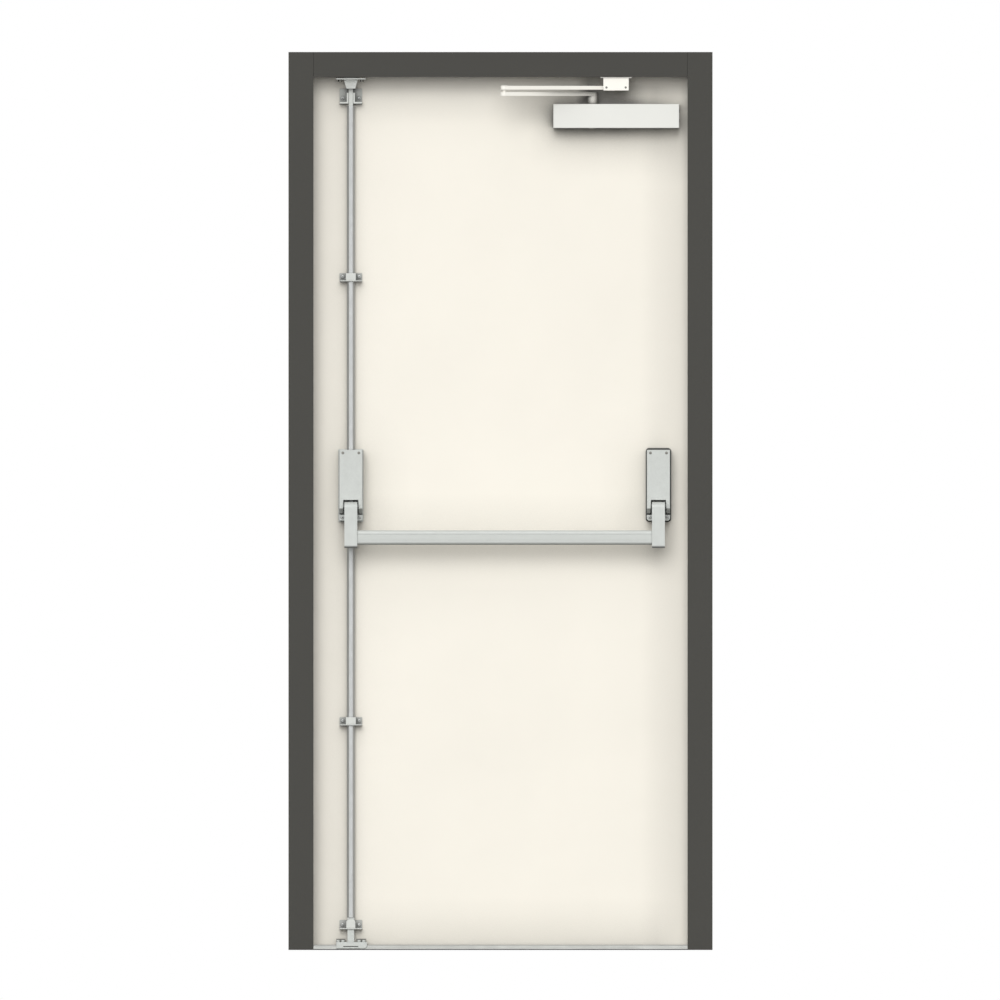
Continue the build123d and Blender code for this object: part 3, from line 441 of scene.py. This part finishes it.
def bare_metal(name, colour, stretch, roughness, brush, crevice_shade_factor=0.6, metallic=0.85):
    """Plated or extruded metal with a grain along one axis, a painted highlight on its edges and
    painted shade in its crevices.
    """
    metal = Finish(name, metallic=metallic, specular=0.5)
    edge_highlight_and_wear = metal.corners(0.0007)
    streak = metal.grain(brush, 4.0, stretch, 0.6)
    cloud = metal.span(metal.grain(25, 3.0), 0, 1)
    base = metal.mix(cloud, shaded(colour, 0.95), shaded(colour, 1.03))
    base = metal.mix(metal.span(streak, 0, 0.35), base, shaded(colour, 0.86))
    # painted highlight along the edges, together with their wear
    base = metal.mix(metal.span(edge_highlight_and_wear, 0, 0.6, 0, 1), base, shaded(colour, 1.12))
    # painted shade in the crevices
    base = metal.mix(metal.span(metal.crevices(0.003), 0, 0.7, 0, 1), base, shaded(colour, crevice_shade_factor))
    metal.bump(streak, 0.00003)
    rough = metal.span(streak, roughness - 0.06, roughness + 0.08)
    return metal.done(base, rough)


def moulded(name, colour, roughness, grain, depth, dusty=0.15):
    """Rubber or plastic with a fine moulded skin, a trace of dust, and edges lightened as wear and
    as a painted highlight.
    """
    skin = Finish(name, specular=0.35)
    edge_highlight_and_wear = skin.corners(0.0008)
    base = skin.mix(skin.span(skin.grain(60, 3.0), 0, 1), shaded(colour, 0.92), shaded(colour, 1.1))
    settled_dust_and_shade = skin.span(skin.grain(9, 4.0), 0, dusty, 0.45, 0.75)
    base = skin.mix(settled_dust_and_shade, base, DUST)
    # painted highlight along the edges, together with their wear
    base = skin.mix(skin.span(edge_highlight_and_wear, 0, 0.3, 0, 1), base, shaded(colour, 1.7))
    skin.bump(skin.grain(grain, 2.0), depth)
    return skin.done(base, skin.span(skin.grain(40, 2.0), roughness - 0.06, roughness + 0.06))


def pressed_wool(name):
    """Mineral wool with its fibres drawn out in depth."""
    wool = Finish(name, specular=0.1)
    fibre = wool.grain(500, 5.0, (1, 0.15, 1), 0.7)
    base = wool.mix(wool.span(fibre, 0, 1), shaded(WOOL, 0.75), shaded(WOOL, 1.1))
    wool.bump(fibre, 0.0006)
    return wool.done(base, wool.span(fibre, 0.85, 0.98))


def make_finishes():
    """Every material by its use."""
    across, upright, toward = (0.02, 1, 1), (1, 1, 0.02), (1, 0.05, 0.02)
    return {
        "frame": powder_coat("frame_powder", FRAME_GREY, 700, 0.00007, 0.55, 0.15, 0.10),
        "leaf": powder_coat("leaf_powder", LEAF_CREAM, 330, 0.00006, 0.48, speck=0.02,
                            shelter=0.50, closer_shade=0.9),
        "silver": silver_lacquer("silver_lacquer", SILVER),
        "silver_bar": silver_lacquer("silver_bar", SILVER, across, brush=600),
        "silver_arm": silver_lacquer("silver_arm", SILVER, toward, brush=600,
                                     underside=UNDERSIDE_TOE),
        # lighter copies of the silver: painted light on the top keep, the top bolt and the guides
        "silver_painted_light": silver_lacquer("silver_painted_light", SILVER_PAINTED_LIGHT, crevice=0.15),
        "silver_keep": silver_lacquer("silver_keep", SILVER_PAINTED_LIGHT, lit_apron=True, crevice=0.15),
        "silver_guide": silver_lacquer("silver_guide", SILVER_PAINTED_LIGHT, plate_shade=True,
                                       crevice=1.0, crevice_reach=0.016),
        "rod": silver_lacquer("rod_silver", SILVER_SHADE, upright, 0.35, 0.40, 500),
        "cover": powder_coat("cover_paint", COVER_WHITE, 520, 0.00003, 0.36),
        "cream": powder_coat("cream_paint", CREAM, 520, 0.00003, 0.38),
        "arm_cream": powder_coat("arm_paint", CREAM, 520, 0.00003, 0.38, closer_shade=1.0),
        "sill": bare_metal("sill_aluminium", SILL_GREY, across, 0.48, 700, metallic=0.35),
        "seal": moulded("seal_rubber", RUBBER_BLACK, 0.72, 900, 0.00005),
        "packer": moulded("packer_plastic", PACKER_BLACK, 0.6, 1200, 0.00005, 0.05),
        # dark sheets that paint the shade on the bottom keep's ears
        "ear_shade_sheet": moulded("painted_ear_shade", EAR_SHADE_GREY, 0.6, 1200, 0.00003, 0.05),
        "wool": pressed_wool("core_wool"),
        "zinc": bare_metal("screw_zinc", ZINC, (1, 1, 1), 0.42, 900, crevice_shade_factor=0.30, metallic=0.6),
        "dark_screw": bare_metal("screw_dark", DARK_STEEL, (1, 1, 1), 0.40, 900, crevice_shade_factor=0.3),
        "hinge": bare_metal("hinge_steel", HINGE_GREY, upright, 0.36, 500),
    }


finishes = make_finishes()

SLOT_FINISH = {
    "frame_paint": "frame",
    "leaf_paint": "leaf",
    "silver_paint": "silver",
    "cover_paint": "cover",
    "cream_paint": "cream",
    "threshold_metal": "sill",
    "seal_rubber": "seal",
    "core_wool": "wool",
    "packer_plastic": "packer",
    "screw_steel": "zinc",
    "hinge_steel": "hinge",
}
NODE_FINISH = {
    "push_bar": "silver_bar",
    "left_lever_arm": "silver_arm",
    "right_lever_arm": "silver_arm",
    "top_keep": "silver_keep",
    "top_bolt": "silver_painted_light",
    "top_guide": "silver_guide",
    "bottom_guide": "silver_guide",
    "lower_rod_guide": "silver_guide",
    "upper_rod_guide": "silver_guide",
    "upper_rod": "rod",
    "lower_rod": "rod",
    "elbow_pin": "cream",
    "main_arm": "arm_cream",
    "closer_spindle": "arm_cream",
}


def dress_nodes():
    """The finish of every CAD node, by its slot in the record or by its name."""
    for part in frame["record"]["subparts"]:
        name = part["node"]
        finish = NODE_FINISH.get(name, SLOT_FINISH[part["material_slot"]])
        mesh = frame["nodes"][name].data
        mesh.materials.clear()
        mesh.materials.append(finishes[finish])


def piece(name, mesh, body, finish):
    """The mesh as a visible piece that rides on a body of the frame."""
    thing = bpy.data.objects.new(name, mesh)
    bpy.context.scene.collection.objects.link(thing)
    mesh.materials.append(finishes[finish])
    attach(thing, body)
    return thing


def smoothed(form, name, angle=35):
    """The form as a mesh, smooth except at edges sharper than the angle."""
    mesh = bpy.data.meshes.new(name)
    form.to_mesh(mesh)
    form.free()
    mesh.shade_smooth()
    mesh.set_sharp_from_angle(angle=math.radians(angle))
    return mesh


def lathe(profile, steps):
    """A closed turned form about Z from (radius, height) pairs, foot to top."""
    form = bmesh.new()
    rings = []
    for radius, height in profile:
        if radius == 0:
            rings.append([form.verts.new((0, 0, height))])
            continue
        turns = [2 * math.pi * step / steps for step in range(steps)]
        rings.append([form.verts.new((radius * math.cos(t), radius * math.sin(t), height))
                      for t in turns])
    for low, high in zip(rings, rings[1:]):
        for step in range(steps):
            after = (step + 1) % steps
            loop = [low[step % len(low)], low[after % len(low)],
                    high[after % len(high)], high[step % len(high)]]
            corners = list(dict.fromkeys(loop))
            if len(corners) > 2:
                form.faces.new(corners)
    bmesh.ops.recalc_face_normals(form, faces=form.faces)
    return form


def cross_cutter(reach, width, foot, top):
    """Two tapered wedges at right angles, wider at the top."""
    form = bmesh.new()
    for turn in (0, math.pi / 2):
        corners = []
        for height, scale in ((foot, 0.45), (top, 1.0)):
            for x, y in ((-1, -1), (1, -1), (1, 1), (-1, 1)):
                corners.append(form.verts.new((x * reach * scale, y * width * scale, height)))
        for indices in ((3, 2, 1, 0), (4, 5, 6, 7), (0, 1, 5, 4), (1, 2, 6, 5), (2, 3, 7, 6),
                        (3, 0, 4, 7)):
            form.faces.new([corners[index] for index in indices])
        bmesh.ops.rotate(form, verts=corners, cent=(0, 0, 0), matrix=Matrix.Rotation(turn, 3, "Z"))
    return form


def as_object(form, name):
    mesh = bpy.data.meshes.new(name)
    form.to_mesh(mesh)
    form.free()
    thing = bpy.data.objects.new(name, mesh)
    bpy.context.scene.collection.objects.link(thing)
    return thing


def screw_form(profile, recess_foot):
    """A screw head of radius 1 with a cross recess, as a mesh to copy."""
    head = as_object(lathe(profile, 32), "head")
    cutter = as_object(cross_cutter(0.60, 0.13, recess_foot, 0.9), "cutter")
    cut = head.modifiers.new("recess", "BOOLEAN")
    cut.operation = "DIFFERENCE"
    cut.object = cutter
    cut.use_self = True
    graph = bpy.context.evaluated_depsgraph_get()
    mesh = bpy.data.meshes.new_from_object(head.evaluated_get(graph))
    bpy.data.objects.remove(head)
    bpy.data.objects.remove(cutter)
    clean = bmesh.new()
    clean.from_mesh(mesh)
    bmesh.ops.remove_doubles(clean, verts=clean.verts, dist=1e-4)
    clean.to_mesh(mesh)
    clean.free()
    return mesh


# sections of the screw heads at radius 1: (radius, height) from foot to top
PAN = [(0, 0), (1.0, 0), (1.0, 0.22), (0.96, 0.38), (0.84, 0.52), (0.62, 0.62), (0.34, 0.67),
       (0, 0.69)]
FLUSH = [(0, 0), (1.0, 0), (1.0, 0.12), (0.90, 0.25), (0, 0.28)]
SUNK = [(0, -0.5), (0.5, -0.5), (1.0, 0), (0.97, 0.03), (0, 0.03)]
FLAT = [(0, 0), (1.0, 0), (1.0, 0.07), (0.95, 0.10), (0, 0.10)]
CHEESE = [(0, 0), (1.0, 0), (1.0, 0.98), (0.90, 1.12), (0, 1.15)]
screw_forms = {
    "pan": screw_form(PAN, 0.22),
    "flush": screw_form(FLUSH, 0.03),
    "sunk": screw_form(SUNK, -0.30),
    "flat": screw_form(FLAT, 0.01),
    "cheese": screw_form(CHEESE, 0.60),
}


def screws(name, body, spots, facing, radius, kind="pan", finish="zinc"):
    """Screw heads at these spots, all facing one way, each turned a little more."""
    heads = bmesh.new()
    turned = UP.rotation_difference(facing).to_matrix().to_4x4()
    for number, spot in enumerate(spots):
        copy = screw_forms[kind].copy()
        spin = Matrix.Rotation(SCREW_TURN[0] + SCREW_TURN[1] * number, 4, "Z")
        copy.transform(Matrix.Translation(spot) @ turned @ spin @ Matrix.Scale(radius, 4))
        heads.from_mesh(copy)
        bpy.data.meshes.remove(copy)
    return piece(name, smoothed(heads, name), body, finish)


def pair(node, half, y, z):
    """Two spots at one height, to the left and right of the node's middle."""
    low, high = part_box(node)
    x = (low.x + high.x) / 2
    return [Vector((x - half, y, z)), Vector((x + half, y, z))]


def slab(name, x, y, z, body, finish, bevel=0.0003):
    """A flat sheet between two corners with softened edges."""
    form = bmesh.new()
    bmesh.ops.create_cube(form, size=1)
    size = Vector((x[1] - x[0], y[1] - y[0], z[1] - z[0]))
    middle = Vector((sum(x), sum(y), sum(z))) / 2
    bmesh.ops.scale(form, verts=form.verts, vec=size)
    bmesh.ops.translate(form, verts=form.verts, vec=middle)
    bmesh.ops.bevel(form, geom=form.edges, offset=min(bevel, min(size) * 0.4), segments=2,
                    profile=0.7, affect="EDGES")
    return piece(name, smoothed(form, name), body, finish)


def strip(form, stations):
    """Walls between equal rings of points, with both ends closed."""
    rings = [[form.verts.new(point) for point in ring] for ring in stations]
    for first, second in zip(rings, rings[1:]):
        for number in range(len(first)):
            after = (number + 1) % len(first)
            form.faces.new((first[number], first[after], second[after], second[number]))
    form.faces.new(rings[0])
    form.faces.new(reversed(rings[-1]))


def guide_screws():
    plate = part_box("leaf_pan")[0].y - GUIDE_SHEET
    for node, up in (("lower_rod_guide", GUIDE_SCREW_UP), ("upper_rod_guide", GUIDE_SCREW_UP),
                     ("top_guide", TOP_GUIDE_SCREW_UP), ("bottom_guide", BOTTOM_GUIDE_SCREW_UP)):
        spots = pair(node, GUIDE_SCREW_OUT, plate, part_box(node)[0].z + up)
        screws(node + "_screws", "leaf", spots, FORWARD, SCREW_PAN_R)


def case_screws():
    """Two screws in each cover, and two in the foot block of each case."""
    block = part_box("leaf_pan")[0].y - FOOT_BLOCK_THICK
    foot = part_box("left_case_base")[0].z + FOOT_SCREW_UP
    for side in ("left", "right"):
        cover = side + "_case_cover"
        low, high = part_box(cover)
        spots = pair(cover, COVER_SCREW_OUT, low.y, high.z - COVER_SCREW_DOWN)
        screws(side + "_cover_screws", "leaf", spots, FORWARD, SCREW_COVER_R, "flush", "dark_screw")
        spots = pair(cover, FOOT_SCREW_OUT, block, foot)
        screws(side + "_foot_screws", "leaf", spots, FORWARD, SCREW_FOOT_R)


def top_keep_fittings():
    """The screws under the top keep's flange, and a dark sheet on its riser's face that paints the
    shade there.
    """
    low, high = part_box("top_keep")
    under = high.z - KEEP_RISE - KEEP_SHEET
    spots = pair("top_keep", KEEP_SCREW_OUT, low.y + TOP_KEEP_SCREW_BACK, under)
    screws("top_keep_screws", "frame", spots, DOWN, SCREW_KEEP_R, "cheese", "dark_screw")
    middle = (low.x + high.x) / 2
    across = (middle - KEEP_RISER_HALF, middle + KEEP_RISER_HALF)
    face = low.y + KEEP_RISER_BACK
    # a dark sheet that paints the shade above the keep's riser
    slab("keep_riser_shade_sheet", across, (face - TRIM_SHEET, face), (high.z - KEEP_RISE, high.z),
         "frame", "packer")


def bottom_keep_fittings():
    """The bottom keep's screws, dark sheets beside its slot that paint the shade on its ears, and a
    dark strip that paints the shade in the groove in its front.
    """
    low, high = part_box("bottom_keep")
    middle = sum(corner.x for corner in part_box("lower_rod")) / 2
    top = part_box("threshold")[1].z + KEEP_FLOOR_UP
    row = high.y - BOTTOM_KEEP_SCREW_FORWARD
    spots = [Vector((middle + out, row, top)) for out in BOTTOM_KEEP_SCREWS_OUT]
    screws("bottom_keep_screws", "frame", spots, UP, SCREW_CHEESE_R, "cheese", "silver")
    # dark sheets beside the slot that paint the shade on the keep's ears
    ear_shade_sheet = high.y - EAR_SHADE_FORWARD
    left = (low.x, middle - KEEP_SLOT)
    right = (middle + KEEP_SLOT, high.x - KEEP_EAR_SHORT)
    for side, across in (("left", left), ("right", right)):
        slab(f"keep_ear_shade_{side}", across, (ear_shade_sheet - EAR_SHADE_SHEET, ear_shade_sheet), (top, high.z),
             "frame", "ear_shade_sheet")
    # a dark strip in the groove that paints the groove's shade
    groove = low.y + KEEP_GROOVE_DEPTH
    foot = KEEP_GROOVE_UP - KEEP_GROOVE_WIDTH / 2
    slab("keep_groove_shade_strip", (middle - KEEP_GROOVE_HALF, middle + KEEP_GROOVE_HALF),
         (groove - 2 * TRIM_SHEET, groove), (foot, foot + KEEP_GROOVE_WIDTH),
         "frame", "packer")


def bracket_screws():
    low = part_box("arm_bracket")[0]
    spots = pair("arm_bracket", BRACKET_SCREW_OUT, low.y + BRACKET_SCREW_BACK,
                 low.z + BRACKET_SCREW_UP)
    screws("bracket_screws", "frame", spots, FORWARD, SCREW_BRACKET_R, "flush", "dark_screw")


def sill_screws():
    low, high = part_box("threshold")
    spots = pair("threshold", SILL_SCREW_OUT, low.y + SILL_SCREW_BACK, high.z - SILL_SCREW_SINK)
    screws("sill_screws", "frame", spots, UP, SCREW_SILL_R, "sunk")


def sill_foot_shade_strip():
    """A dark strip in the rebate along the threshold's foot, which paints the rebate's shade."""
    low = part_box("threshold")[0]
    across = (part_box("left_jamb")[1].x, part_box("right_jamb")[0].x)
    depth = (low.y + SILL_SHADE_BACK, low.y + SILL_SHADE_BACK + SILL_SHADE_DEPTH)
    slab("sill_foot_shade_strip", across, depth, (low.z, low.z + SILL_SHADE_HEIGHT), "frame",
         "seal", SILL_SHADE_EDGE)


def hinge_screws():
    """Flat-headed screws on both flags, seen when the door is open."""
    frame_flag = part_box("frame_head")[1].x - FLAG_SHEET
    leaf_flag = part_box("leaf_pan")[1].x + FLAG_SHEET
    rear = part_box("leaf_rear_sheet")[1].y
    for place in ("low", "middle", "top"):
        for owner, face, facing in (("frame", frame_flag, -1), ("leaf", leaf_flag, 1)):
            name = f"hinge_{owner}_{place}"
            middle = sum(corner.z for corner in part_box(name)) / 2
            spots = [Vector((face, rear - forward, middle + rise * side))
                     for rise, forward in FLAG_SCREWS for side in (-1, 1)]
            screws(name + "_screws", owner, spots, Vector((facing, 0, 0)), SCREW_FLAG_R, "flat")


def closer_screws():
    """The two adjusting screws in the closer's end."""
    low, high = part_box("closer_housing")
    middle = (low + high) / 2
    spots = [Vector((high.x, middle.y - CLOSER_SCREW_FORWARD, middle.z + rise))
             for rise in (-CLOSER_SCREW_OUT, CLOSER_SCREW_OUT)]
    screws("closer_adjusters", "leaf", spots, Vector((1, 0, 0)), SCREW_CLOSER_R, "flush",
           "dark_screw")


def corner_cleats():
    """Flat cleats in the head, which close its joints with the jambs from inside."""
    low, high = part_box("frame_head")
    depth = (low.y + FRAME_SHEET, low.y + FRAME_SHEET + CLEAT_SHEET)
    height = (low.z + FRAME_SHEET, high.z - FRAME_SHEET)
    left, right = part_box("left_jamb")[1].x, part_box("right_jamb")[0].x
    for side, across in (("left", (left, left + CLEAT_WIDTH)),
                         ("right", (right - CLEAT_WIDTH, right))):
        slab(f"corner_cleat_{side}", across, depth, height, "frame", "frame")


def seal_profile():
    """A bulb seal from head to foot of both stops, mitred, with a foot strip."""
    low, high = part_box("frame_seal")
    depth = high.y - low.y
    inner, lintel = high.x - SEAL_WIDTH, high.z - SEAL_WIDTH
    form = bmesh.new()
    stations = []
    for side, top in ((-1, False), (-1, True), (1, True), (1, False)):
        stations.append([
            (side * (inner + u * SEAL_WIDTH), low.y + v * depth,
             lintel + u * SEAL_WIDTH if top else low.z)
            for u, v in SEAL_BULB
        ])
    strip(form, stations)
    strip(form, [
        [(x, low.y + v * depth, low.z + u * SEAL_FOOT) for u, v in SEAL_BULB]
        for x in (-inner, inner)
    ])
    bmesh.ops.recalc_face_normals(form, faces=form.faces)
    seal = piece("seal_profile", smoothed(form, "seal_profile", 40), "frame", "seal")
    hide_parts("frame_seal")


def make_stage():
    """A plain pale floor, white to camera and gloss and greyer to the light it throws back."""
    form = bmesh.new()
    bmesh.ops.create_grid(form, x_segments=2, y_segments=2, size=FLOOR_HALF)
    floor = as_object(form, "floor")
    pale = Finish("floor_pale", specular=0.2)
    tone = pale.mix(pale.span(pale.grain(0.6, 2.0), 0, 1), shaded(FLOOR_PALE, 0.995), FLOOR_PALE)
    path = pale.add("ShaderNodeLightPath").outputs
    seen = pale.maths("MAXIMUM", path["Is Camera Ray"], path["Is Glossy Ray"])
    tone = pale.mix(seen, FLOOR_BOUNCE, tone)
    floor.data.materials.append(pale.done(tone, pale.span(pale.grain(30, 2.0), 0.7, 0.8)))


def soft_lamp(name, azimuth, height, width, strength):
    """A far, wide lamp; azimuth 0 lights the push side square on."""
    lamp = bpy.data.lights.new(name, "SUN")
    lamp.angle = math.radians(width)
    lamp.energy = strength
    thing = bpy.data.objects.new(name, lamp)
    around, up = math.radians(azimuth), math.radians(height)
    level = math.cos(up)
    source = Vector((math.sin(around) * level, -math.cos(around) * level, math.sin(up)))
    thing.rotation_euler = source.to_track_quat("Z", "Y").to_euler()
    bpy.context.scene.collection.objects.link(thing)


def make_light():
    """A soft dome that shows white to camera and gloss, and the lamps."""
    world = bpy.data.worlds.new("studio")
    bpy.context.scene.world = world
    world.use_nodes = True
    tree = world.node_tree
    dome = tree.nodes["Background"]
    dome.inputs["Color"].default_value = (1, 1, 1, 1)
    dome.inputs["Strength"].default_value = DOME
    white = tree.nodes.new("ShaderNodeBackground")
    white.inputs["Color"].default_value = (1, 1, 1, 1)
    path = tree.nodes.new("ShaderNodeLightPath")
    seen = path.outputs["Is Camera Ray"]
    for ray in ("Is Glossy Ray", "Is Transmission Ray"):
        either = tree.nodes.new("ShaderNodeMath")
        either.operation = "MAXIMUM"
        tree.links.new(seen, either.inputs[0])
        tree.links.new(path.outputs[ray], either.inputs[1])
        seen = either.outputs[0]
    mix = tree.nodes.new("ShaderNodeMixShader")
    tree.links.new(seen, mix.inputs[0])
    tree.links.new(dome.outputs[0], mix.inputs[1])
    tree.links.new(white.outputs[0], mix.inputs[2])
    tree.links.new(mix.outputs[0], tree.nodes["World Output"].inputs[0])
    for name, settings in LAMPS.items():
        soft_lamp(name, *settings)


def make_camera():
    """The photograph's view: square on and without perspective."""
    lens = bpy.data.cameras.new("camera")
    lens.type = "ORTHO"
    lens.ortho_scale = VIEW_SPAN
    camera = bpy.data.objects.new("camera", lens)
    camera.location = (VIEW_MIDDLE[0], -VIEW_DISTANCE, VIEW_MIDDLE[1])
    camera.rotation_euler = (math.pi / 2, 0, 0)
    bpy.context.scene.collection.objects.link(camera)
    bpy.context.scene.camera = camera
    bpy.context.scene.view_settings.view_transform = "Standard"


make_camera()
make_light()
make_stage()
dress_nodes()
guide_screws()
case_screws()
top_keep_fittings()
bottom_keep_fittings()
bracket_screws()
sill_screws()
sill_foot_shade_strip()
hinge_screws()
closer_screws()
corner_cleats()
seal_profile()
